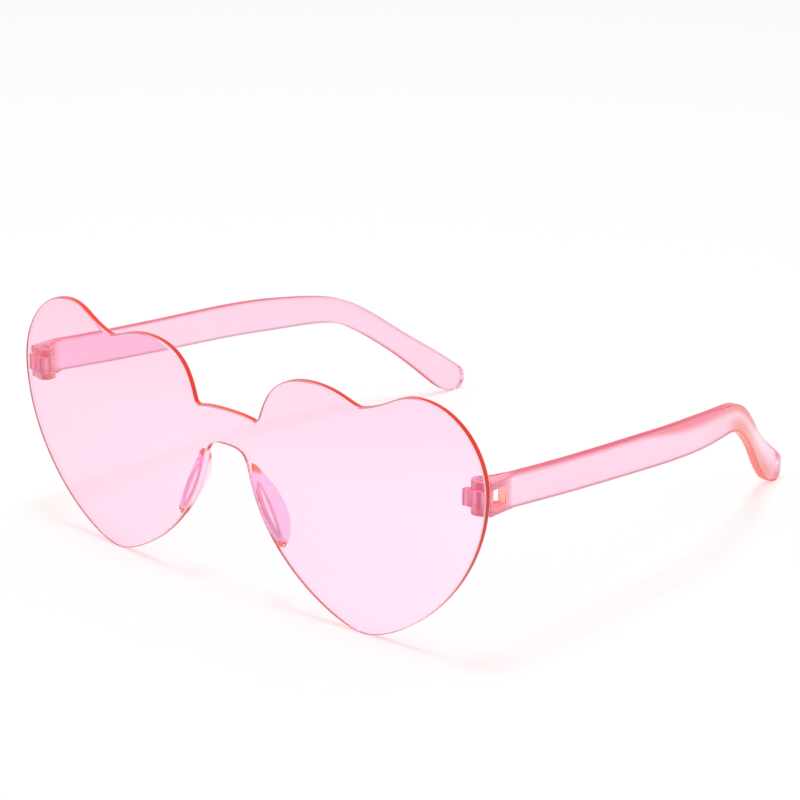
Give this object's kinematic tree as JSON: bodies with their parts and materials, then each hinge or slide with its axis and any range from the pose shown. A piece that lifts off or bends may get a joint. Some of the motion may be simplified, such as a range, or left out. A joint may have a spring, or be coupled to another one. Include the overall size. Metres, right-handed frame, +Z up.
{
  "type": "heart shaped sunglasses",
  "caption": "Rimless heart shaped sunglasses: a clear pink tinted shield with nose pads and folding temples.",
  "frame": {"origin": "on the ground, midway across the face and midway from the lens's front to the temple tips", "axes": "+X towards the wearer's left, +Y from the lens back to the temple tips, +Z up; it stands on the heart tips and the temple tips, temples open"},
  "size_m": [0.145, 0.1469, 0.0588],
  "materials": {
    "tinted_sheet": "clear pink tint, polished faces and edges",
    "pad_plastic": "clear pink, moulded",
    "temple_plastic": "milky clear pink, moulded",
    "screw_steel": "bright steel"
  },
  "bodies": {
    "front": {"lens_shield": "tinted_sheet", "nose_pad_left": "pad_plastic", "nose_pad_right": "pad_plastic", "end_piece_left": "pad_plastic", "end_piece_right": "pad_plastic"},
    "left_temple": {"temple_left": "temple_plastic", "hinge_screw_left": "screw_steel"},
    "right_temple": {"temple_right": "temple_plastic", "hinge_screw_right": "screw_steel"}
  },
  "joints": [
    {"name": "left_temple_hinge", "type": "hinge", "parent": "front", "child": "left_temple", "pos_m": [0.0686, -0.06449, 0.0389], "axis": [0, 0, 1], "range_deg": [0, 84.5]},
    {"name": "right_temple_hinge", "type": "hinge", "parent": "front", "child": "right_temple", "pos_m": [-0.0686, -0.06449, 0.0389], "axis": [0, 0, -1], "range_deg": [0, 78.5]}
  ]
}
